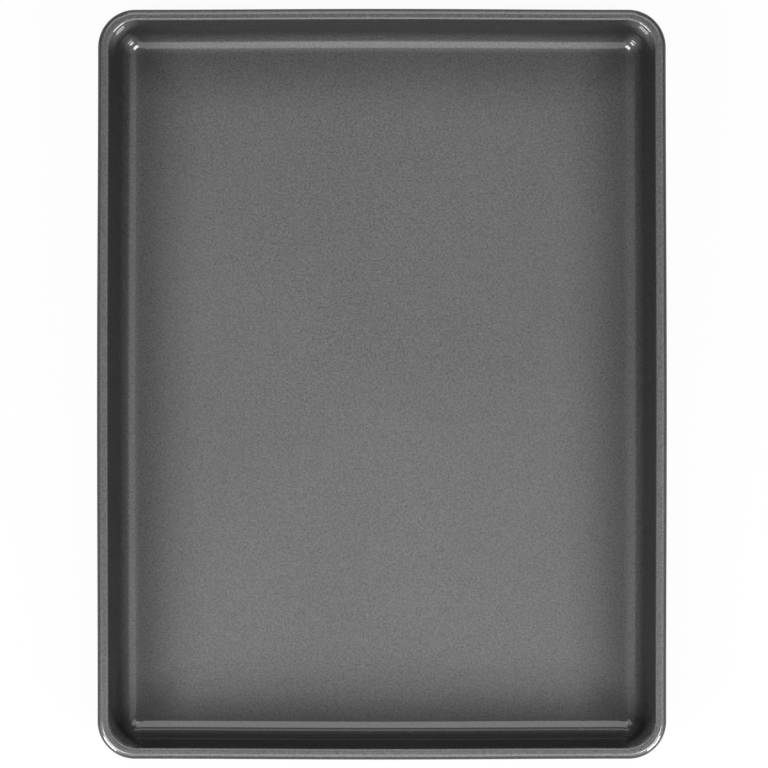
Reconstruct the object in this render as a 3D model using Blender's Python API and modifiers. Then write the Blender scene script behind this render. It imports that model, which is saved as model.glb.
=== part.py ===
"""Cookie sheet: a pressed steel pan whose edge is rolled round a reinforcing wire.

The pan lies flat with its long sides along Y and its underside on z = 0, centred on the origin.
Lengths are in metres. Run with: blender --background --python part.py
"""

import math

import bpy
import numpy as np

# Pan, measured over the rolled rim
PAN_WIDTH = 0.3180
PAN_LENGTH = 0.4190
PAN_HEIGHT = 0.0254
SIDE_CROWN = 0.0005  # the middle of each side bows out this far past its ends

# Pressed sheet
SHEET_GAUGE = 0.0008
WALL_DRAFT = math.radians(19.0)
FLOOR_FILLET_RADIUS = 0.0125  # inside, between wall and floor
FILLET_MOST = 0.95  # the fillet takes at most this share of the height from floor to wall top
RIM_CORNER_RADIUS = 0.0210  # plan radius at the bead's outer edge
FLOOR_CORNER_RADIUS = 0.0047  # plan radius where the fillet meets the flat floor
CORNER_EASE = 1.65  # how early a corner tightens on its way down; 1 is a steady rate
CORNER_SHOULDER = 0.0075  # how much wider the upper wall's corner radius is than that easing gives

# Rolled rim and the wire inside it
FLANGE_WIDTH = 0.0014  # flat strip between the bend at the wall's top and the roll
RIM_BEND_RADIUS = 0.0020  # on the upper face, where the wall turns out into the flange
WIRE_DIAMETER = 0.0042
WIRE_SEAT_GAP = 0.0003  # all round, between wire and roll
WIRE_END_GAP = 0.0010  # between the wire's two butted ends
ROLL_EDGE_GAP = 0.0004  # between the roll's cut edge and the back of the wall

# Facets
ARC_STEP = math.radians(22.5)  # largest turn between stations of the roll
FILLET_STEP = math.radians(9.0)  # largest turn between stations of the floor fillet
WALL_STEPS = 3
CORNER_STEPS = 10
LONG_SIDE_STEPS = 8
SHORT_SIDE_STEPS = 6
WIRE_BEVEL_RESOLUTION = 4
SHARP_ANGLE = math.radians(40.0)

# Finishes: base colour, metallic, roughness
COATED_STEEL = ((0.115, 0.115, 0.118, 1.0), 0.55, 0.42)
BARE_WIRE_STEEL = ((0.420, 0.415, 0.405, 1.0), 1.00, 0.38)

# Sizes that follow from the ones above
ROLL_RADIUS = WIRE_DIAMETER / 2 + WIRE_SEAT_GAP + SHEET_GAUGE
ROLL_CENTRE_HEIGHT = PAN_HEIGHT - ROLL_RADIUS
BEND_CENTRE_INSET = ROLL_RADIUS + FLANGE_WIDTH
BEND_CENTRE_HEIGHT = PAN_HEIGHT - RIM_BEND_RADIUS
WALL_TOP_INSET = BEND_CENTRE_INSET + RIM_BEND_RADIUS * math.cos(WALL_DRAFT)
WALL_TOP_HEIGHT = BEND_CENTRE_HEIGHT + RIM_BEND_RADIUS * math.sin(WALL_DRAFT)


def clear_scene():
    """Remove every object that is already in the scene."""
    for old in list(bpy.data.objects):
        bpy.data.objects.remove(old, do_unlink=True)


def new_finish(name, values):
    """Return a Principled material from (base colour, metallic, roughness)."""
    colour, metallic, roughness = values
    material = bpy.data.materials.new(name)
    material.use_nodes = True
    shader = material.node_tree.nodes["Principled BSDF"]
    shader.inputs["Base Color"].default_value = colour
    shader.inputs["Metallic"].default_value = metallic
    shader.inputs["Roughness"].default_value = roughness
    material.diffuse_color = colour
    return material


def arc_angles(start, end, largest_step):
    """Return the angles of an arc from start to end, both ends included."""
    steps = max(1, math.ceil(abs(end - start) / largest_step))
    return np.linspace(start, end, steps + 1)


def roll_profile():
    """Return (inset, height) of the roll's outer face, from its cut edge up and over to its top.

    Angles are taken at the wire's centre, 0 pointing away from the pan and 90 degrees up. The cut
    edge stops ROLL_EDGE_GAP short of the wall's back, or where it points straight at the wall if
    the wall stands further off than that.
    """
    wall_distance = ((WALL_TOP_INSET - ROLL_RADIUS) * math.cos(WALL_DRAFT)
                     + (WALL_TOP_HEIGHT - ROLL_CENTRE_HEIGHT) * math.sin(WALL_DRAFT))
    reach = min((wall_distance - SHEET_GAUGE - ROLL_EDGE_GAP) / ROLL_RADIUS, 1.0)
    cut_edge = math.acos(reach) - math.pi - WALL_DRAFT
    under = arc_angles(cut_edge, 0.0, ARC_STEP)
    outer = arc_angles(0.0, math.pi / 2, ARC_STEP)
    angles = np.concatenate([under, outer[1:]])
    inset = ROLL_RADIUS * (1 - np.cos(angles))
    height = ROLL_CENTRE_HEIGHT + ROLL_RADIUS * np.sin(angles)
    return np.column_stack([inset, height])


def bend_profile():
    """Return (inset, height) of the bend's outer face, from the flat flange down to the wall."""
    angles = arc_angles(math.pi / 2, WALL_DRAFT, ARC_STEP)
    inset = BEND_CENTRE_INSET + RIM_BEND_RADIUS * np.cos(angles)
    height = BEND_CENTRE_HEIGHT + RIM_BEND_RADIUS * np.sin(angles)
    return np.column_stack([inset, height])


def fillet_profile():
    """Return (inset, height) of the floor fillet's inner face, from the wall down to the floor.

    The fillet is tangent to the wall and to the floor, and no larger than the wall has room for.
    """
    rise = 1 - math.sin(WALL_DRAFT)  # height of the fillet for a radius of 1
    largest = FILLET_MOST * (WALL_TOP_HEIGHT - SHEET_GAUGE) / rise
    radius = min(FLOOR_FILLET_RADIUS, largest)
    wall_foot_height = SHEET_GAUGE + radius * rise
    wall_run = (WALL_TOP_HEIGHT - wall_foot_height) * math.tan(WALL_DRAFT)
    centre_inset = WALL_TOP_INSET + wall_run + radius * math.cos(WALL_DRAFT)
    angles = arc_angles(WALL_DRAFT, math.pi / 2, FILLET_STEP)
    inset = centre_inset - radius * np.cos(angles)
    height = SHEET_GAUGE + radius * (1 - np.sin(angles))
    return np.column_stack([inset, height])


def inner_profile(fillet):
    """Return (inset, height) of the face inside the roll: bend, wall, fillet and flat floor."""
    bend = bend_profile()
    wall = np.linspace(bend[-1], fillet[0], WALL_STEPS + 1)[1:-1]
    flat = fillet[-1] + (FLOOR_CORNER_RADIUS / 2, 0.0)
    return np.vstack([bend, wall, fillet, flat])


def inner_corner_radius(inset, height, fillet):
    """Return the plan radius of the corners at one station of the face inside the roll.

    Down the wall and fillet the corners ease from the rim's radius to the floor's own, and on the
    flat they are concentric. The shoulder makes the upper wall's corners fuller than that: it
    grows from the wall's foot, is fullest at seven tenths of the way up and ends at the flange.
    """
    foot_height, floor_inset = fillet[0, 1], fillet[-1, 0]
    rise = max((height - foot_height) / (PAN_HEIGHT - foot_height), 0.0)
    shoulder = CORNER_SHOULDER * math.sin(math.pi * rise ** 2)
    wall_radius = RIM_CORNER_RADIUS - WALL_TOP_INSET
    if inset <= WALL_TOP_INSET:
        return RIM_CORNER_RADIUS - inset + shoulder
    if inset >= floor_inset:
        return FLOOR_CORNER_RADIUS - (inset - floor_inset)
    left = 1 - (inset - WALL_TOP_INSET) / (floor_inset - WALL_TOP_INSET)
    eased = (wall_radius - FLOOR_CORNER_RADIUS) * left ** CORNER_EASE
    return FLOOR_CORNER_RADIUS + eased + shoulder


def side_points(start, end, outward, steps):
    """Return the points between the ends of one side, bowed outwards by the side crown."""
    along = np.linspace(0, 1, steps + 1)[1:-1, None]
    bow = SIDE_CROWN * np.sin(math.pi * along) ** 2
    return start + (end - start) * along + bow * outward


def ring(inset, radius):
    """Return the plan points of one rounded rectangle with bowed sides, counterclockwise.

    Its sides lie at the inset from the pan's outer edge at mid-side. The first point is the
    middle of the +X side.
    """
    centre_x = PAN_WIDTH / 2 - SIDE_CROWN - inset - radius
    centre_y = PAN_LENGTH / 2 - SIDE_CROWN - inset - radius
    centres = np.array([(centre_x, centre_y), (-centre_x, centre_y),
                        (-centre_x, -centre_y), (centre_x, -centre_y)])
    side_steps = (SHORT_SIDE_STEPS, LONG_SIDE_STEPS, SHORT_SIDE_STEPS, LONG_SIDE_STEPS)
    points = []
    for quarter in range(4):
        turns = np.linspace(quarter, quarter + 1, CORNER_STEPS + 1) * math.pi / 2
        spokes = np.column_stack([np.cos(turns), np.sin(turns)])
        arc = centres[quarter] + radius * spokes
        side_end = centres[(quarter + 1) % 4] + radius * spokes[-1]
        points += [arc, side_points(arc[-1], side_end, spokes[-1], side_steps[quarter])]
    return np.roll(np.vstack(points), LONG_SIDE_STEPS // 2, axis=0)


def pan_surface():
    """Return the vertices and faces of the pan's upper face, a loft of rings closed by the floor."""
    roll, fillet = roll_profile(), fillet_profile()
    inner = inner_profile(fillet)
    profile = np.vstack([roll, inner])
    rings = [ring(inset, RIM_CORNER_RADIUS - inset) for inset, _ in roll]
    rings += [ring(inset, inner_corner_radius(inset, height, fillet)) for inset, height in inner]
    around = len(rings[0])
    vertices = np.vstack([np.column_stack([plan, np.full(around, height)])
                          for plan, (_, height) in zip(rings, profile)])
    faces = []
    for station in range(len(profile) - 1):
        first, second = station * around, (station + 1) * around
        for step in range(around):
            after = (step + 1) % around
            faces.append((first + step, first + after, second + after, second + step))
    last = (len(profile) - 1) * around
    faces.append(tuple(range(last, last + around)))
    return vertices, faces


def make_pan_body(collection, parent):
    """Make the pressed sheet: its upper face lofted, then given the sheet's gauge."""
    vertices, faces = pan_surface()
    mesh = bpy.data.meshes.new("pan_body")
    mesh.from_pydata(vertices.tolist(), [], faces)
    mesh.validate()
    pan = bpy.data.objects.new("pan_body", mesh)
    collection.objects.link(pan)
    pan.parent = parent
    shell = pan.modifiers.new("sheet_gauge", "SOLIDIFY")
    shell.thickness = SHEET_GAUGE
    shell.offset = -1.0
    shell.use_even_offset = True
    mesh.shade_smooth()
    mesh.set_sharp_from_angle(angle=SHARP_ANGLE)
    mesh.materials.append(new_finish("coated_steel", COATED_STEEL))
    return pan


def make_rim_wire(collection, parent):
    """Make the wire: one length bent to the roll's centre line, its ends butted on the +X side."""
    path = ring(ROLL_RADIUS, RIM_CORNER_RADIUS - ROLL_RADIUS)
    start = path[0] + (0.0, WIRE_END_GAP / 2)
    end = path[0] - (0.0, WIRE_END_GAP / 2)
    path = np.vstack([start, path[1:], end])
    curve = bpy.data.curves.new("rim_wire", "CURVE")
    curve.dimensions = "3D"
    curve.bevel_depth = WIRE_DIAMETER / 2
    curve.bevel_resolution = WIRE_BEVEL_RESOLUTION
    curve.use_fill_caps = True
    spline = curve.splines.new("POLY")
    spline.points.add(len(path) - 1)
    for point, (x, y) in zip(spline.points, path):
        point.co = (x, y, 0.0, 1.0)
    spline.use_smooth = True
    wire = bpy.data.objects.new("rim_wire", curve)
    wire.location.z = ROLL_CENTRE_HEIGHT
    collection.objects.link(wire)
    wire.parent = parent
    curve.materials.append(new_finish("bare_wire_steel", BARE_WIRE_STEEL))
    return wire


def main():
    """Build the cookie sheet in a collection of its own."""
    clear_scene()
    collection = bpy.data.collections.new("cookie_sheet")
    bpy.context.scene.collection.children.link(collection)
    datum = bpy.data.objects.new("pan_datum", None)
    collection.objects.link(datum)
    make_pan_body(collection, datum)
    make_rim_wire(collection, datum)


main()
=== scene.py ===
"""Looks of the cookie sheet: a pressed pan in a dark metallic coat, its edge rolled round a wire.

Every piece is a surface worked out with numpy: a cross-section carried round a rounded rectangle.
Lengths are in metres and angles in radians.
"""

import logging
import math
from dataclasses import dataclass, field, replace
from enum import Enum

import bpy
import numpy as np
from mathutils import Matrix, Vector


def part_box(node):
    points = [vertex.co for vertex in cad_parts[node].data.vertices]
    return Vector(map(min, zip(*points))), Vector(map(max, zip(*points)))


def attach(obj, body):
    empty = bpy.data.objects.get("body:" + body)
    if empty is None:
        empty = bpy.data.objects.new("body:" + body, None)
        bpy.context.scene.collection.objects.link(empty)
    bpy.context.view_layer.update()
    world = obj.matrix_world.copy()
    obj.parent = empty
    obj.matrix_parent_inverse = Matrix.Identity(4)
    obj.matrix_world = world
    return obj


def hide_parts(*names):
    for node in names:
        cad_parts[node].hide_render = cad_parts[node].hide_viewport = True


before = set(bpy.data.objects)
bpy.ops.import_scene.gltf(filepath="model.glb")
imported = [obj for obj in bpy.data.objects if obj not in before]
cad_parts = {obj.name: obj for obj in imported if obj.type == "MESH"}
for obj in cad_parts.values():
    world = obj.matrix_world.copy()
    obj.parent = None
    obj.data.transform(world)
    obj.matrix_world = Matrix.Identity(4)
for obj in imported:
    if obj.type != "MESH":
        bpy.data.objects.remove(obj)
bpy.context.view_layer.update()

BODY = "root"
QUARTER_TURN = math.pi / 2
WHITE = (1.0, 1.0, 1.0, 1.0)
NOISE_MEAN = 0.5
log = logging.getLogger("cookie_sheet")


@dataclass(frozen=True)
class Loop:
    """One trip round a rounded rectangle, without its size.

    A point of the outline is sign * (half side - inset - radius) + spoke * (radius + bow). On a
    corner the spoke turns and the sign stays, and on a side the sign slides and the spoke stays.

    Attributes:
        sign: which corner centre a point belongs to, -1 to 1 in x and y.
        spoke: unit direction from the corner centre line to the point.
        bow: how far the side's crown pushes the point outwards.
    """

    sign: np.ndarray
    spoke: np.ndarray
    bow: np.ndarray

    @classmethod
    def around(cls, crown: float, corner_steps: int, side_steps: tuple[int, int]) -> "Loop":
        """Make the loop, starting from the middle of the +X side and going counterclockwise.

        Args:
            crown: how far the middle of each side bows out.
            corner_steps: facets in each corner.
            side_steps: facets along an X side (short) and along a Y side (long), both even.

        Returns:
            The loop, with each side's crown as a sine squared along it.
        """
        signs, spokes, bows = [], [], []
        corners = np.array([(1, 1), (-1, 1), (-1, -1), (1, -1)], float)
        for quarter in range(4):
            turn = np.linspace(quarter, quarter + 1, corner_steps + 1) * QUARTER_TURN
            spoke = np.column_stack([np.cos(turn), np.sin(turn)])
            along = np.linspace(0, 1, side_steps[quarter % 2] + 1)[1:-1, None]
            here, ahead = corners[quarter], corners[(quarter + 1) % 4]
            signs += [np.tile(here, (len(turn), 1)), here + (ahead - here) * along]
            spokes += [spoke, np.tile(spoke[-1], (len(along), 1))]
            bows += [np.zeros(len(turn)), crown * np.sin(math.pi * along[:, 0]) ** 2]
        shift = side_steps[1] // 2
        parts = (np.concatenate(part) for part in (signs, spokes, bows))
        return cls(*(np.roll(part, shift, axis=0) for part in parts))

    def outline(self, half: np.ndarray, inset: np.ndarray, radius: np.ndarray) -> np.ndarray:
        """Place the loop at each of several insets.

        Args:
            half: half the width and half the length of the outline at its corners.
            inset: distance in from that outline, one value for each loop wanted.
            radius: corner radius of each loop.

        Returns:
            Plan points, shape (loops, points, 2).
        """
        reach = half[None, :] - (inset + radius)[:, None]
        push = radius[:, None] + self.bow[None, :]
        return self.sign[None] * reach[:, None, :] + self.spoke[None] * push[:, :, None]


def unit(vectors: np.ndarray) -> np.ndarray:
    """Return the vectors along the last axis, each at length 1."""
    return vectors / np.linalg.norm(vectors, axis=-1, keepdims=True)


def loft_faces(rows: int, columns: int) -> list[tuple[int, ...]]:
    """Return the faces of a grid that is closed along its columns and capped at both end rows.

    Args:
        rows: number of rings.
        columns: points in each ring.

    Returns:
        Quads between neighbouring rings, then the first ring's cap and the last ring's.
    """
    index = np.arange(rows * columns).reshape(rows, columns)
    after = np.roll(index, -1, axis=1)
    quads = np.stack([index[:-1], index[1:], after[1:], after[:-1]], axis=-1)
    caps = [tuple(index[0].tolist()), tuple(index[-1, ::-1].tolist())]
    return [tuple(quad) for quad in quads.reshape(-1, 4).tolist()] + caps


def new_piece(name: str, points: np.ndarray, material: bpy.types.Material) -> bpy.types.Object:
    """Make a smooth closed piece and put it in the scene.

    Args:
        name: the piece's name.
        points: its rings of points, shape (rings, points, 3).
        material: what it is made of.

    Returns:
        The piece, at the datum and unturned.
    """
    mesh = bpy.data.meshes.new(name)
    mesh.from_pydata(points.reshape(-1, 3).tolist(), [], loft_faces(*points.shape[:2]))
    mesh.shade_smooth()
    mesh.materials.append(material)
    piece = bpy.data.objects.new(name, mesh)
    bpy.context.scene.collection.objects.link(piece)
    return piece


class NodeTree:
    """A short way to add and join shader nodes."""

    def __init__(self, tree: bpy.types.NodeTree) -> None:
        """Keep the node tree that nodes are added to."""
        self.tree = tree

    def add(self, kind: str, label: str = "", **settings: object) -> bpy.types.Node:
        """Add a node.

        Args:
            kind: Blender's name for the kind of node.
            label: a plain label for it.
            **settings: its settings by name, such as operation.

        Returns:
            The node.
        """
        node = self.tree.nodes.new(kind)
        node.label = label
        for name, value in settings.items():
            setattr(node, name, value)
        return node

    def join(self, start: bpy.types.NodeSocket, end: bpy.types.NodeSocket) -> None:
        """Link an output socket to an input socket."""
        self.tree.links.new(start, end)

    def math(self, operation: str, first: object, second: object) -> bpy.types.NodeSocket:
        """Add a Math node.

        Args:
            operation: what it does, such as ADD.
            first: its first value, a number or a socket.
            second: its second value, a number or a socket.

        Returns:
            The result.
        """
        node = self.add("ShaderNodeMath", operation.lower(), operation=operation)
        for socket, value in zip(node.inputs, (first, second)):
            if isinstance(value, bpy.types.NodeSocket):
                self.join(value, socket)
            else:
                socket.default_value = value
        return node.outputs[0]

    def noise(self, vector: bpy.types.NodeSocket, scale: object, detail: float = 1.0,
              roughness: float = 0.5) -> bpy.types.NodeSocket:
        """Add a Noise Texture.

        Args:
            vector: the place that it is read at.
            scale: waves in a metre, a number or a socket.
            detail: finer waves laid over the first.
            roughness: strength of the finer waves.

        Returns:
            Its value, from 0 to 1 and NOISE_MEAN on average.
        """
        node = self.add("ShaderNodeTexNoise", "noise")
        self.join(vector, node.inputs["Vector"])
        node.inputs["Detail"].default_value = detail
        node.inputs["Roughness"].default_value = roughness
        if isinstance(scale, bpy.types.NodeSocket):
            self.join(scale, node.inputs["Scale"])
        else:
            node.inputs["Scale"].default_value = scale
        return node.outputs["Fac"]

    def ramp(self, value: bpy.types.NodeSocket, start: object, end: object) -> bpy.types.NodeSocket:
        """Add a smooth step.

        Args:
            value: what is stepped.
            start: where the step is 0, a number or a socket.
            end: where the step is 1, a number or a socket, above start or below it.

        Returns:
            The step, from 0 to 1.
        """
        node = self.add("ShaderNodeMapRange", "smooth step", interpolation_type="SMOOTHSTEP")
        self.join(value, node.inputs["Value"])
        for name, edge in (("From Min", start), ("From Max", end)):
            if isinstance(edge, bpy.types.NodeSocket):
                self.join(edge, node.inputs[name])
            else:
                node.inputs[name].default_value = edge
        return node.outputs["Result"]

    def blend(self, share: bpy.types.NodeSocket, low: float, high: float) -> bpy.types.NodeSocket:
        """Return low where the share is 0 and high where it is 1."""
        return self.math("ADD", self.math("MULTIPLY", share, high - low), low)


def new_group(name: str, inputs: dict[str, float], outputs: tuple[str, ...]) -> NodeTree:
    """Start a shader node group.

    Args:
        name: the group's name.
        inputs: its number inputs and their defaults, after a Vector input that each group has.
        outputs: its number outputs.

    Returns:
        The group's tree, with its input and output nodes in place.
    """
    group = bpy.data.node_groups.new(name, "ShaderNodeTree")
    group.interface.new_socket("Vector", in_out="INPUT", socket_type="NodeSocketVector")
    for label, value in inputs.items():
        socket = group.interface.new_socket(label, in_out="INPUT", socket_type="NodeSocketFloat")
        socket.default_value = value
    for label in outputs:
        group.interface.new_socket(label, in_out="OUTPUT", socket_type="NodeSocketFloat")
    group.nodes.new("NodeGroupInput").name = "in"
    group.nodes.new("NodeGroupOutput").name = "out"
    return NodeTree(group)


def build_grain_group() -> bpy.types.NodeTree:
    """Build the fine grain that the coat, the bare wire and the floor share.

    Two noises are mixed: pebbles of the size given, and specks that are Speck Fineness times as
    small and a little harsher.

    Returns:
        A group that takes Size in metres, Speck Fineness and Speck Share, and gives Tone, about 0
        on average, and Height, from 0 to 1.
    """
    made = new_group("fine_grain", {"Size": 0.001, "Speck Fineness": 2.7, "Speck Share": 0.4},
                     ("Tone", "Height"))
    start, end = made.tree.nodes["in"], made.tree.nodes["out"]
    place = start.outputs["Vector"]
    scale = made.math("DIVIDE", 1.0, start.outputs["Size"])
    speck_scale = made.math("MULTIPLY", scale, start.outputs["Speck Fineness"])
    pebbles = made.noise(place, scale)
    specks = made.noise(place, speck_scale, roughness=0.6)
    mix = made.add("ShaderNodeMix", "pebbles and specks", data_type="FLOAT")
    made.join(start.outputs["Speck Share"], mix.inputs["Factor"])
    made.join(pebbles, mix.inputs["A"])
    made.join(specks, mix.inputs["B"])
    made.join(mix.outputs["Result"], end.inputs["Height"])
    made.join(made.math("SUBTRACT", mix.outputs["Result"], NOISE_MEAN), end.inputs["Tone"])
    return made.tree


def build_wear_and_light_group() -> bpy.types.NodeTree:
    """Build the masks of where the coat's gloss and colour change, painted light and shade among
    them.

    Three masks follow the height. Rim is 1 on top of the rim, whose colour is made lighter. Shine
    is
    1 there, on the floor and on the fillet's foot, and 0 on the wall, whose colour is darkened as
    painted shade. Flat is 1 on the flat floor alone, which baking has dulled. Two more follow the
    distance in from the floor's edge. The first, a painted pool of light, is 1 in the middle of the
    floor: it is the smooth step of that distance across, times the one along.
    The second, painted shade, is 1 in the floor's corners: it is 1 less the larger of the two
    steps.

    Returns:
        A group that takes a place in the pan's frame, and where each mask starts and ends.
    """
    inputs = ("Flat Start", "Flat End", "Foot Start", "Foot End", "Rim Start", "Rim End",
              "Half Width", "Half Length", "Light Pool Fade", "Corner Shade Fade")
    made = new_group("coat_wear_and_painted_light", dict.fromkeys(inputs, 0.0),
                     ("Shine", "Flat", "Rim", "Light Pool", "Corner Shade"))
    start, end = made.tree.nodes["in"], made.tree.nodes["out"]
    take = start.outputs
    axes = made.add("ShaderNodeSeparateXYZ", "axes")
    made.join(take["Vector"], axes.inputs["Vector"])
    height = axes.outputs["Z"]
    flat = made.ramp(height, take["Flat End"], take["Flat Start"])
    foot = made.ramp(height, take["Foot End"], take["Foot Start"])
    rim = made.ramp(height, take["Rim Start"], take["Rim End"])
    inward = [made.math("SUBTRACT", take[half], made.math("ABSOLUTE", axes.outputs[axis], 0.0))
              for axis, half in (("X", "Half Width"), ("Y", "Half Length"))]
    # The middle's mask: a painted pool of light that lightens the floor's middle.
    light_pool = made.math("MULTIPLY", *(made.ramp(span, 0.0, take["Light Pool Fade"]) for span in inward))
    # The corners' mask: painted shade that darkens the floor's corners.
    off_corner = made.math("MAXIMUM", *(made.ramp(span, 0.0, take["Corner Shade Fade"]) for span in inward))
    corner_shade = made.math("MULTIPLY", foot, made.math("SUBTRACT", 1.0, off_corner))
    made.join(made.math("MAXIMUM", foot, rim), end.inputs["Shine"])
    for mask, label in ((flat, "Flat"), (rim, "Rim"), (light_pool, "Light Pool"), (corner_shade, "Corner Shade")):
        made.join(mask, end.inputs[label])
    return made.tree


@dataclass(frozen=True)
class Finish:
    """What every finish here has: a Principled metal over fine grain.

    Attributes:
        name: the material's name.
        colour: linear base colour.
        roughness: mean roughness.
        grain_size: size of one pebble of grain.
        grain_tone: how much the grain lightens and darkens the colour.
        grain_depth: height of the grain's relief.
        mottle: how much slow cloudiness changes the colour.
        speck_share: share of specks in the grain, next to pebbles.
        cloud_size: size of one patch of the cloudiness.
        rough_spread: how much the grain changes the roughness.
        metallic: 1 for metal.
        edge_tint: grey of the reflection where the surface is seen almost edge on.
    """

    name: str
    colour: tuple[float, float, float]
    roughness: float
    grain_size: float
    grain_tone: float
    grain_depth: float
    mottle: float = 0.3
    speck_share: float = 0.4
    cloud_size: float = 0.12
    rough_spread: float = 0.0
    metallic: float = 1.0
    edge_tint: float = 1.0

    def add_grain(self, tree: NodeTree, shader: bpy.types.Node, place: bpy.types.NodeSocket,
                  grain: bpy.types.NodeTree) -> bpy.types.NodeSocket:
        """Join grain, cloudiness and relief to the shader.

        Args:
            tree: the material's nodes.
            shader: its Principled shader.
            place: the place on the piece.
            grain: the fine grain group.

        Returns:
            The gain that multiplies the base colour.
        """
        grit = tree.add("ShaderNodeGroup", "fine grain", node_tree=grain)
        tree.join(place, grit.inputs["Vector"])
        grit.inputs["Size"].default_value = self.grain_size
        grit.inputs["Speck Share"].default_value = self.speck_share
        clouds = tree.noise(place, 1 / self.cloud_size, detail=2.0)
        slow = tree.math("MULTIPLY", tree.math("SUBTRACT", clouds, NOISE_MEAN), self.mottle)
        fast = tree.math("MULTIPLY", grit.outputs["Tone"], self.grain_tone)
        spread = tree.math("MULTIPLY", grit.outputs["Tone"], self.rough_spread)
        tree.join(tree.math("ADD", spread, self.roughness), shader.inputs["Roughness"])
        relief = tree.add("ShaderNodeBump", "grain relief")
        relief.inputs["Distance"].default_value = self.grain_depth
        tree.join(grit.outputs["Height"], relief.inputs["Height"])
        tree.join(relief.outputs["Normal"], shader.inputs["Normal"])
        shader.inputs["Metallic"].default_value = self.metallic
        shader.inputs["Specular Tint"].default_value = (*[self.edge_tint] * 3, 1.0)
        return tree.math("ADD", tree.math("ADD", slow, fast), 1.0)

    def material(self, grain: bpy.types.NodeTree) -> bpy.types.Material:
        """Build the material.

        Args:
            grain: the fine grain group.

        Returns:
            A material whose colour, roughness and normal vary with the grain.
        """
        made = bpy.data.materials.new(self.name)
        made.use_nodes = True
        tree = NodeTree(made.node_tree)
        shader = made.node_tree.nodes["Principled BSDF"]
        place = tree.add("ShaderNodeTexCoord", "place").outputs["Object"]
        gain = self.add_grain(tree, shader, place, grain)
        gain = self.top_coat(tree, shader, place, gain)
        tint = tree.add("ShaderNodeMix", "toned colour", data_type="RGBA", blend_type="MULTIPLY")
        tint.inputs["Factor"].default_value = 1.0
        tint.inputs["A"].default_value = (*self.colour, 1.0)
        tree.join(gain, tint.inputs["B"])
        tree.join(tint.outputs["Result"], shader.inputs["Base Color"])
        return made

    def top_coat(self, tree: NodeTree, shader: bpy.types.Node, place: bpy.types.NodeSocket,
                 gain: bpy.types.NodeSocket) -> bpy.types.NodeSocket:
        """Return the colour's gain unchanged, as bare metal has nothing over it."""
        return gain


@dataclass(frozen=True)
class CoatedFinish(Finish):
    """A finish under a thin glossy coat, burnished in places and dulled on the flat floor.

    Each gloss is the coat's share at a place, and each tone multiplies the colour there. The wall's
    tone is painted shade, the middle's a painted pool of light and the corners' painted shade. The
    middle's and the corners' tones come on top of the flat floor's.

    Attributes:
        coat_roughness: roughness of the coat.
        coat_ior: refractive index of the coat.
        burnished_gloss: on the fillet's foot and on top of the rim.
        wall_gloss: on the wall.
        flat_gloss: on the flat floor, as a share of the burnished gloss.
        wall_painted_shade: on the wall, painted shade.
        rim_tone: on top of the rim.
        flat_tone: on the flat floor.
        middle_painted_light: in the middle of the floor, a painted pool of light.
        corner_painted_shade: in the floor's corners, painted shade.
        places: where each mask starts and ends on the pan, as the mask group's inputs.
    """

    coat_roughness: float = 0.08
    coat_ior: float = 2.25
    burnished_gloss: float = 1.0
    wall_gloss: float = 0.20
    flat_gloss: float = 0.0
    wall_painted_shade: float = 0.64
    rim_tone: float = 1.30
    flat_tone: float = 0.93
    middle_painted_light: float = 1.51
    corner_painted_shade: float = 0.67
    places: dict[str, float] = field(default_factory=dict)

    def top_coat(self, tree: NodeTree, shader: bpy.types.Node, place: bpy.types.NodeSocket,
                 gain: bpy.types.NodeSocket) -> bpy.types.NodeSocket:
        """Lay the coat on.

        Args:
            tree: the material's nodes.
            shader: its Principled shader.
            place: the place on the piece.
            gain: what multiplies the base colour so far.

        Returns:
            The gain times the tone of each place, painted shade and light among them.
        """
        coat_masks = tree.add("ShaderNodeGroup", "coat wear and painted light", node_tree=build_wear_and_light_group())
        tree.join(place, coat_masks.inputs["Vector"])
        for name, value in self.places.items():
            coat_masks.inputs[name].default_value = value
        gloss = tree.blend(coat_masks.outputs["Shine"], self.wall_gloss, self.burnished_gloss)
        left = tree.blend(coat_masks.outputs["Flat"], 1.0, self.flat_gloss)
        tree.join(tree.math("MULTIPLY", gloss, left), shader.inputs["Coat Weight"])
        shader.inputs["Coat Roughness"].default_value = self.coat_roughness
        shader.inputs["Coat IOR"].default_value = self.coat_ior
        # The wall's tone darkens the wall as painted shade.
        tones = (("Shine", self.wall_painted_shade, 1.0), ("Rim", 1.0, self.rim_tone),
                 # The middle's tone is a painted pool of light.
                 ("Flat", 1.0, self.flat_tone), ("Light Pool", 1.0, self.middle_painted_light),
                 # The corners' tone is painted shade.
                 ("Corner Shade", 1.0, self.corner_painted_shade))
        for mask, low, high in tones:
            gain = tree.math("MULTIPLY", gain, tree.blend(coat_masks.outputs[mask], low, high))
        return gain


COATED_STEEL = CoatedFinish(
    name="dark_coated_steel", colour=(0.174, 0.174, 0.1765), roughness=0.62, edge_tint=0.4,
    grain_size=0.0010, grain_tone=1.9, grain_depth=0.00004, mottle=0.2, rough_spread=0.4)
WIRE_STEEL = Finish(
    name="drawn_wire_steel", colour=(0.42, 0.415, 0.405), roughness=0.34,
    grain_size=0.0006, grain_tone=0.35, grain_depth=0.00002, mottle=0.15, rough_spread=0.15)


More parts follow.
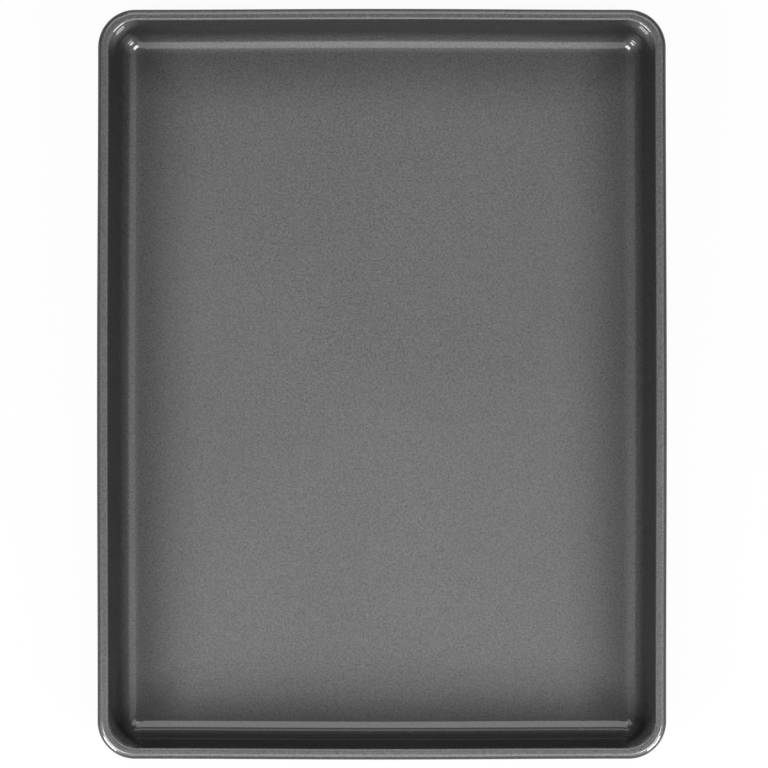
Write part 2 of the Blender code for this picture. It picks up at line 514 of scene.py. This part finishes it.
@dataclass(frozen=True)
class PaleFloor:
    """The studio floor: matt and pale, and washed out to white where it is seen or reflected.

    Attributes:
        name: the material's name.
        albedo: its true colour, which is what it lights the pan with.
        wash: share of plain white laid over it for camera, glossy and transmission rays. What is
            left keeps the pan's shadow.
        speckle_size: size of one pebble of its grain.
        speckle: how much the grain changes its colour.
    """

    name: str = "pale_floor"
    albedo: float = 0.95
    wash: float = 0.95
    speckle_size: float = 0.004
    speckle: float = 0.02

    def material(self, grain: bpy.types.NodeTree) -> bpy.types.Material:
        """Build the material, with a faint speckle.

        Args:
            grain: the fine grain group.

        Returns:
            A matt material, mixed with plain white for the rays that show it.
        """
        made = bpy.data.materials.new(self.name)
        made.use_nodes = True
        tree = NodeTree(made.node_tree)
        made.node_tree.nodes.clear()
        place = tree.add("ShaderNodeTexCoord", "place").outputs["Object"]
        grit = tree.add("ShaderNodeGroup", "fine grain", node_tree=grain)
        tree.join(place, grit.inputs["Vector"])
        grit.inputs["Size"].default_value = self.speckle_size
        shade = tree.math("MULTIPLY", grit.outputs["Tone"], self.speckle)
        matt = tree.add("ShaderNodeBsdfDiffuse", "matt floor")
        tree.join(tree.math("ADD", shade, self.albedo), matt.inputs["Color"])
        white = tree.add("ShaderNodeEmission", "washed out")
        path = tree.add("ShaderNodeLightPath", "ray kind").outputs
        seen = tree.math("MAXIMUM", path["Is Camera Ray"], path["Is Glossy Ray"])
        seen = tree.math("MAXIMUM", seen, path["Is Transmission Ray"])
        mix = tree.add("ShaderNodeMixShader", "wash")
        tree.join(tree.math("MULTIPLY", seen, self.wash), mix.inputs["Fac"])
        tree.join(matt.outputs["BSDF"], mix.inputs[1])
        tree.join(white.outputs["Emission"], mix.inputs[2])
        output = tree.add("ShaderNodeOutputMaterial", "output")
        tree.join(mix.outputs["Shader"], output.inputs["Surface"])
        return made


@dataclass
class RolledEdge:
    """The rim: a bend at the wall's top, a narrow flat flange, and the edge rolled round the wire.

    Sections are (inset from the rim's outer edge, height above the wire's centre). The roll's
    angles are taken at that centre, 0 pointing away from the pan and a quarter turn up.

    Attributes:
        wire_diameter: diameter of the wire inside.
        seat_gap: gap between the wire and the sheet, all round.
        gauge: thickness of the sheet.
        edge_gap: gap between the roll's cut edge and the wall's back.
        flange: width of the flat between the bend and the roll.
        bend_radius: radius of the bend at the wall's top, on the upper face.
        wall_draft: how far the wall leans from upright.
        bend_steps: facets of the bend.
        roll_steps: facets of the roll.
        cap_steps: stations round the cut edge.
    """

    wire_diameter: float = 0.0042
    seat_gap: float = 0.0003
    gauge: float = 0.0008
    edge_gap: float = 0.0004
    flange: float = 0.0014
    bend_radius: float = 0.0020
    wall_draft: float = math.radians(19.0)
    bend_steps: int = 12
    roll_steps: int = 40
    cap_steps: int = 6

    @property
    def radius(self) -> float:
        """Radius of the roll's outer face."""
        return self.wire_diameter / 2 + self.seat_gap + self.gauge

    def cut_angle(self) -> float:
        """Work out where the roll ends, one edge gap off the wall's back.

        At angle t from the wall's normal the roll's outer face lies radius * cos t along that
        normal from the wire's centre. It ends where that is the wall's back less the edge gap.

        Returns:
            The cut edge's angle.
        """
        draft = self.wall_draft
        reach = (self.flange * math.cos(draft) + (self.radius - self.bend_radius) * math.sin(draft)
                 + self.bend_radius - self.gauge - self.edge_gap)
        turn = math.acos(min(reach / self.radius, 1.0))
        return turn - math.pi - draft

    def section(self) -> tuple[np.ndarray, np.ndarray]:
        """Work out the upper face from the wall to the cut edge.

        The bend's point at angle a is bend_radius * (cos a, sin a) from the bend's centre. The
        roll's point at angle a is radius * (-cos a, sin a) from the wire's centre.

        Returns:
            The section's points and their normals.
        """
        turn = np.linspace(self.wall_draft, QUARTER_TURN, self.bend_steps + 1)
        bend_normal = np.column_stack([np.cos(turn), np.sin(turn)])
        bend_centre = np.array([self.radius + self.flange, self.radius - self.bend_radius])
        turn = np.linspace(QUARTER_TURN, self.cut_angle(), self.roll_steps + 1)
        roll_normal = np.column_stack([-np.cos(turn), np.sin(turn)])
        roll = np.array([self.radius, 0.0]) + self.radius * roll_normal
        points = np.vstack([bend_centre + self.bend_radius * bend_normal, roll])
        return points, np.vstack([bend_normal, roll_normal])


@dataclass
class PressedSheet:
    """The pan's one sheet: floor, fillet, wall, corners and rolled edge, one gauge thick.

    Attributes:
        low: the pan's lowest corner.
        high: the pan's highest corner.
        edge: its rolled edge.
        side_crown: how far the middle of each side bows out.
        rim_corner_radius: corner radius of the rim's outer edge.
        floor_corner_radius: corner radius of the flat floor.
        corner_ease: power by which the corners tighten towards the floor.
        corner_shoulder: how much the corners widen in the upper wall.
        fillet_radius: radius between floor and wall, on the upper face.
        fillet_steps: facets of the fillet.
        wall_steps: facets up the wall.
        corner_steps: facets round each corner.
        side_steps: facets along a short side and along a long side.
        name: the piece's name.
    """

    low: Vector
    high: Vector
    edge: RolledEdge = field(default_factory=RolledEdge)
    side_crown: float = 0.0005
    rim_corner_radius: float = 0.0210
    floor_corner_radius: float = 0.0047
    corner_ease: float = 1.65
    corner_shoulder: float = 0.0075
    fillet_radius: float = 0.0125
    fillet_steps: int = 40
    wall_steps: int = 10
    corner_steps: int = 56
    side_steps: tuple[int, int] = (32, 40)
    name: str = "pressed_sheet"

    @property
    def loop(self) -> Loop:
        """The loop that every ring of the sheet follows."""
        return Loop.around(self.side_crown, self.corner_steps, self.side_steps)

    @property
    def half(self) -> np.ndarray:
        """Half the width and length at the corners, without the sides' crown."""
        span = np.array(self.high - self.low)[:2]
        return span / 2 - self.side_crown

    @property
    def floor_height(self) -> float:
        """Height of the flat floor's upper face."""
        return self.low.z + self.edge.gauge

    @property
    def wire_height(self) -> float:
        """Height of the wire's centre line."""
        return self.high.z - self.edge.radius

    def upper_section(self) -> tuple[np.ndarray, np.ndarray]:
        """Work out the upper face's section, from the flat floor to the cut edge.

        The fillet's point at angle a is fillet radius * (1 - sin a) up from the floor, a running
        from a quarter turn at the floor to the draft at the wall. The wall is straight between
        the fillet and the bead.

        Returns:
            The section's points, each (inset, height), and their normals.
        """
        edge, draft = self.edge, self.edge.wall_draft
        floor = self.floor_height
        rim, rim_normal = edge.section()
        rim = rim + (0.0, self.wire_height)
        wall_top = rim[0]
        foot = floor + self.fillet_radius * (1 - math.sin(draft))
        run = (wall_top[1] - foot) * math.tan(draft)
        centre = np.array([wall_top[0] + run + self.fillet_radius * math.cos(draft),
                           floor + self.fillet_radius])
        angle = np.linspace(QUARTER_TURN, draft, self.fillet_steps + 1)
        normal = np.column_stack([np.cos(angle), np.sin(angle)])
        fillet = centre - self.fillet_radius * normal
        share = np.linspace(0, 1, self.wall_steps + 1)[1:-1, None]
        wall = fillet[-1] + (wall_top - fillet[-1]) * share
        flat = fillet[0] + np.array([(self.floor_corner_radius / 2, 0.0)])
        section = np.vstack([flat, fillet, wall, rim])
        wall_normal = np.tile(normal[-1], (len(wall), 1))
        return section, np.vstack([normal[:1], normal, wall_normal, rim_normal])

    def corner_radius(self, section: np.ndarray, facing: np.ndarray) -> np.ndarray:
        """Work out the upper face's corner radius at each station of the section.

        It is concentric with the rim as far as the wall's top and with the floor's corner on the
        flat. Between them it is the floor's radius plus the rest times share left ** corner_ease.
        Inside the rim the shoulder widens it by corner_shoulder * sin(pi * rise ** 2), where rise
        goes from 0 at the wall's foot to 1 at the rim's top.

        Args:
            section: (inset, height) of the stations, the floor's flat station first.
            facing: outward normal of the stations.

        Returns:
            One corner radius for each station.
        """
        inset, height = section.T
        foot = 1 + self.fillet_steps
        floor_inset, top = inset[1], inset[foot + self.wall_steps]
        left = np.clip((floor_inset - inset) / (floor_inset - top), 0, 1)
        rest = self.rim_corner_radius - top - self.floor_corner_radius
        eased = left ** self.corner_ease * rest
        flat = np.minimum(floor_inset - inset, 0)
        radius = np.where(inset <= top, self.rim_corner_radius - inset,
                          self.floor_corner_radius + eased + flat)
        rise = np.clip((height - height[foot]) / (self.high.z - height[foot]), 0, 1)
        inner = (inset > self.edge.radius) & (facing[:, 1] > 0)
        widened = self.corner_shoulder * np.sin(math.pi * rise ** 2)
        return radius + np.where(inner, widened, 0.0)

    def upper_face(self) -> np.ndarray:
        """Carry the section round the loop.

        Returns:
            The upper face's rings from the flat floor to the cut edge, shape (rings, points, 3).
        """
        section, facing = self.upper_section()
        radius = self.corner_radius(section, facing)
        plan = self.loop.outline(self.half, section[:, 0], radius)
        height = np.broadcast_to(section[:, 1, None, None], (*plan.shape[:2], 1))
        return np.concatenate([plan, height], axis=2)

    def points(self) -> np.ndarray:
        """Close the sheet, one gauge thick.

        The back lies one gauge behind the upper face along its normals. The cut edge is a half
        circle from one to the other: middle + gauge / 2 * (cos t * normal + sin t * onward).

        Returns:
            The shell's rings: the upper face out to the cut edge, then the back again.
        """
        upper = self.upper_face()
        onward = unit(np.gradient(upper, axis=0))
        around = np.roll(upper, -1, axis=1) - np.roll(upper, 1, axis=1)
        normal = unit(np.cross(onward, around))
        gauge = self.edge.gauge
        middle = upper[-1] - gauge / 2 * normal[-1]
        turn = np.linspace(0, math.pi, self.edge.cap_steps + 2)[1:-1, None, None]
        cap = middle + gauge / 2 * (np.cos(turn) * normal[-1] + np.sin(turn) * onward[-1])
        under = upper - gauge * normal
        return np.concatenate([upper, cap, under[::-1]])

    def build(self, material: bpy.types.Material) -> bpy.types.Object:
        """Make the sheet in place of the plain solid of the pan's body.

        Args:
            material: the coated steel.

        Returns:
            The piece.
        """
        piece = new_piece(self.name, self.points(), material)
        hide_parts("pan_body")
        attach(piece, BODY)
        return piece


@dataclass
class RimWire:
    """The wire inside the bead: one length, bent round and butted on the +X side.

    Attributes:
        sheet: the sheet that is rolled round it.
        end_gap: gap between its two ends.
        chamfer: chamfer of each end.
        ring_steps: facets round it.
        name: the piece's name.
    """

    sheet: PressedSheet
    end_gap: float = 0.0010
    chamfer: float = 0.0003
    ring_steps: int = 20
    name: str = "reinforcing_wire"

    def centre_line(self) -> tuple[np.ndarray, np.ndarray]:
        """Lay out the wire's centre line, with one more station behind each end for its chamfer.

        Returns:
            Its plan points from one end to the other, and the outward direction at each.
        """
        inset = np.array([self.sheet.edge.radius])
        loop = self.sheet.loop
        path = loop.outline(self.sheet.half, inset, self.sheet.rim_corner_radius - inset)[0]
        end = np.array([0.0, self.end_gap / 2])
        bevel = np.array([0.0, self.chamfer])
        line = np.vstack([path[0] + end, path[0] + end + bevel, path[1:],
                          path[0] - end - bevel, path[0] - end])
        out = np.vstack([loop.spoke[:1], loop.spoke, loop.spoke[:1], loop.spoke[:1]])
        return line, out

    def points(self) -> np.ndarray:
        """Carry a circle along the centre line, drawn in at each end by the chamfer.

        The circle's point at angle t is radius * cos t out from the centre line and
        radius * sin t up from it.

        Returns:
            The wire's rings, shape (rings, points, 3).
        """
        line, out = self.centre_line()
        radius = np.full(len(line), self.sheet.edge.wire_diameter / 2)
        radius[[0, -1]] -= self.chamfer
        turn = np.linspace(0, 2 * math.pi, self.ring_steps, endpoint=False)
        across = radius[:, None] * np.cos(turn)[None, :]
        plan = line[:, None, :] + across[:, :, None] * out[:, None, :]
        height = self.sheet.wire_height + radius[:, None] * np.sin(turn)[None, :]
        return np.concatenate([plan, height[:, :, None]], axis=2)

    def build(self, material: bpy.types.Material) -> bpy.types.Object:
        """Make the wire in place of the plain solid.

        Args:
            material: the bare wire steel.

        Returns:
            The piece.
        """
        piece = new_piece(self.name, self.points(), material)
        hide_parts("rim_wire")
        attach(piece, BODY)
        return piece


@dataclass(frozen=True)
class CoatWearAndLight:
    """How far each change of the coat reaches on the sheet, painted light and shade among them.

    Attributes:
        flat: heights over the flat floor where the dull coat starts and ends giving way.
        foot: heights over the flat floor where the fillet's shine starts and ends giving way.
        rim: depths under the rim's top where the rim's gloss and lighter colour start and are full.
        margin: how far outside the flat floor the middle's and the corners' masks are measured
            from.
        light_pool_fade: distance in from there at which the middle's painted pool of light is full.
        corner_shade_fade: distance in from there at which a corner's painted shade is gone.
    """

    flat: tuple[float, float] = (0.0001, 0.0004)
    foot: tuple[float, float] = (0.0017, 0.0026)
    rim: tuple[float, float] = (0.0006, 0.0003)
    margin: float = 0.0009
    light_pool_fade: float = 0.04
    corner_shade_fade: float = 0.03

    def places(self, sheet: PressedSheet) -> dict[str, float]:
        """Work out where the coat changes on a sheet.

        The flat floor ends at the section's second station, where the fillet starts to rise.

        Args:
            sheet: the pan's sheet.

        Returns:
            The inputs of the wear group by name.
        """
        section, _ = sheet.upper_section()
        half_width, half_length = sheet.half - section[1, 0] + self.margin
        places = {"Half Width": half_width, "Half Length": half_length,
                  "Light Pool Fade": self.light_pool_fade, "Corner Shade Fade": self.corner_shade_fade}
        for label, base, sign, reach in (("Flat", sheet.floor_height, 1, self.flat),
                                         ("Foot", sheet.floor_height, 1, self.foot),
                                         ("Rim", sheet.high.z, -1, self.rim)):
            places[label + " Start"] = base + sign * reach[0]
            places[label + " End"] = base + sign * reach[1]
        return places


class Lamp(Enum):
    """The studio's lamps, by where each hangs as the picture shows it."""

    LEFT_HIGH = "left_high"
    RIGHT_HIGH = "right_high"
    LEFT_STRIP = "left_strip"
    RIGHT_STRIP = "right_strip"
    LEFT_LOW = "left_low"
    RIGHT_LOW = "right_low"
    BACK = "back_panel"
    BACK_LOW = "back_low"
    BACK_LEFT = "back_left_panel"
    BACK_RIGHT = "back_right_panel"
    SIDE_RIGHT = "right_panel"
    FRONT = "front_panel"


@dataclass(frozen=True)
class LampSetting:
    """Where a rectangular lamp hangs, how large it is and how bright it shines.

    Attributes:
        azimuth: direction of the lamp from the pan, 0 along +X and a quarter turn along +Y.
        elevation: angle above the floor.
        size: width and height of the lamp.
        radiance: brightness of its face, where 1 is white.
        distance: distance from the pan's centre, the same for all lamps.
    """

    azimuth: float
    elevation: float
    size: tuple[float, float]
    radiance: float
    distance: float = 1.5

    @classmethod
    def in_degrees(cls, azimuth: float, elevation: float, width: float, height: float,
                   radiance: float) -> "LampSetting":
        """Make a setting from angles in degrees."""
        return cls(math.radians(azimuth), math.radians(elevation), (width, height), radiance)


LAMPS: dict[Lamp, LampSetting] = {
    Lamp.LEFT_HIGH: LampSetting.in_degrees(-134, 59, 0.52, 0.32, 5.3),
    Lamp.RIGHT_HIGH: LampSetting.in_degrees(-46, 59, 0.52, 0.32, 5.3),
    Lamp.LEFT_STRIP: LampSetting.in_degrees(-136, 29, 0.56, 0.26, 21.5),
    Lamp.RIGHT_STRIP: LampSetting.in_degrees(-44, 29, 0.56, 0.26, 20.5),
    Lamp.LEFT_LOW: LampSetting.in_degrees(-136, 13, 0.62, 0.18, 15.0),
    Lamp.RIGHT_LOW: LampSetting.in_degrees(-44, 13, 0.62, 0.18, 15.0),
    Lamp.BACK: LampSetting.in_degrees(90, 50, 0.90, 1.00, 0.77),
    Lamp.BACK_LOW: LampSetting.in_degrees(90, 16, 1.00, 0.31, 2.20),
    Lamp.BACK_LEFT: LampSetting.in_degrees(132, 48, 0.50, 0.90, 0.62),
    Lamp.BACK_RIGHT: LampSetting.in_degrees(48, 48, 0.50, 0.90, 0.71),
    Lamp.SIDE_RIGHT: LampSetting.in_degrees(0, 52, 0.90, 0.90, 0.17),
    Lamp.FRONT: LampSetting.in_degrees(-90, 52, 0.70, 1.00, 0.55),
}


@dataclass
class Studio:
    """Plain pale floor, soft lamps and a camera that looks down at the pan, almost upright.

    Attributes:
        world_radiance: brightness of the room, where 1 is white.
        floor_radius: radius of the floor's disc.
        floor_sides: straight sides of that disc.
        floor_drop: how far the floor lies below the pan.
        camera_distance: distance from the camera to the rim's centre.
        camera_tilt: angle by which the camera looks away from straight down.
        camera_reach: how far the camera sees.
        image_side: pixels along the picture's side.
        pixel: size of one pixel at the rim.
        object_centre_px: where the rim's centre is in the picture, from its top left corner.
        sensor: width of the camera's sensor in millimetres.
    """

    world_radiance: float = 0.07
    floor_radius: float = 9.0
    floor_sides: int = 96
    floor_drop: float = 0.0003
    camera_distance: float = 3.0
    camera_tilt: float = math.radians(0.8)
    camera_reach: float = 100.0
    image_side: int = 768
    pixel: float = 0.0005574
    object_centre_px: tuple[float, float] = (381.9, 383.8)
    sensor: float = 36.0

    def build_floor(self, grain: bpy.types.NodeTree) -> None:
        """Lay the floor, a wide disc a hair below the pan, so that the two faces never meet.

        Args:
            grain: the fine grain group.
        """
        bpy.ops.mesh.primitive_circle_add(vertices=self.floor_sides, radius=self.floor_radius,
                                          fill_type="NGON", location=(0.0, 0.0, -self.floor_drop))
        floor = bpy.context.object
        floor.name = "studio_floor"
        floor.data.materials.append(PaleFloor().material(grain))

    def build_world(self) -> None:
        """Give the room an even pale light from all round."""
        world = bpy.data.worlds.new("studio_room")
        world.use_nodes = True
        background = world.node_tree.nodes["Background"]
        background.inputs["Color"].default_value = WHITE
        background.inputs["Strength"].default_value = self.world_radiance
        bpy.context.scene.world = world

    def hang(self, lamp: Lamp, setting: LampSetting) -> bpy.types.Object:
        """Hang one lamp so that it faces the pan.

        Args:
            lamp: which lamp it is.
            setting: its place, size and brightness.

        Returns:
            The lamp. A one-sided rectangle of area A and radiance L gives off pi * A * L watts.
        """
        light = bpy.data.lights.new(lamp.value, "AREA")
        light.shape = "RECTANGLE"
        light.size, light.size_y = setting.size
        light.energy = math.pi * light.size * light.size_y * setting.radiance
        level = math.cos(setting.elevation)
        back = Vector((level * math.cos(setting.azimuth),
                       level * math.sin(setting.azimuth),
                       math.sin(setting.elevation)))
        hung = bpy.data.objects.new(lamp.value, light)
        hung.location = back * setting.distance
        hung.rotation_euler = back.to_track_quat("Z", "Y").to_euler()
        hung.visible_camera = False
        bpy.context.scene.collection.objects.link(hung)
        return hung

    def build_camera(self, rim_height: float) -> None:
        """Hang the camera over the pan, tilted a little, so that it stands towards -Y.

        One pixel is one pixel size at the rim, and the lens shift puts the pan's centre where it
        is in the picture.

        Args:
            rim_height: height of the rim's top, which the camera's distance is measured from.
        """
        data = bpy.data.cameras.new("overhead_camera")
        data.sensor_width = self.sensor
        data.lens = self.sensor * self.camera_distance / (self.image_side * self.pixel)
        data.shift_x = 0.5 - self.object_centre_px[0] / self.image_side
        data.shift_y = self.object_centre_px[1] / self.image_side - 0.5
        data.clip_end = self.camera_reach
        camera = bpy.data.objects.new("overhead_camera", data)
        back = Vector((0.0, -math.sin(self.camera_tilt), math.cos(self.camera_tilt)))
        camera.location = Vector((0.0, 0.0, rim_height)) + back * self.camera_distance
        camera.rotation_euler = (self.camera_tilt, 0.0, 0.0)
        bpy.context.scene.collection.objects.link(camera)
        bpy.context.scene.camera = camera

    def build(self, grain: bpy.types.NodeTree, rim_height: float) -> None:
        """Set up the floor, the room's light, the lamps and the camera.

        Args:
            grain: the fine grain group.
            rim_height: height of the rim's top.
        """
        self.build_floor(grain)
        self.build_world()
        for lamp, setting in LAMPS.items():
            self.hang(lamp, setting)
        self.build_camera(rim_height)
        bpy.context.scene.view_settings.view_transform = "Standard"


def report(piece: bpy.types.Object) -> None:
    """Log a piece's name, face count and size in millimetres."""
    size = " x ".join(f"{1000 * side:.1f}" for side in piece.dimensions)
    log.info("%s: %d faces, %s mm", piece.name, len(piece.data.polygons), size)


def main() -> None:
    """Build the pan, its wire and the studio, and report each piece."""
    logging.basicConfig(level=logging.INFO, format="%(name)s: %(message)s")
    grain = build_grain_group()
    low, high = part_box("pan_body")
    sheet = PressedSheet(low, high)
    coat = replace(COATED_STEEL, places=CoatWearAndLight().places(sheet))
    pieces = [sheet.build(coat.material(grain)),
              RimWire(sheet).build(WIRE_STEEL.material(grain))]
    Studio().build(grain, high.z)
    bpy.context.view_layer.update()
    for piece in pieces:
        report(piece)


if __name__ == "__main__":
    main()
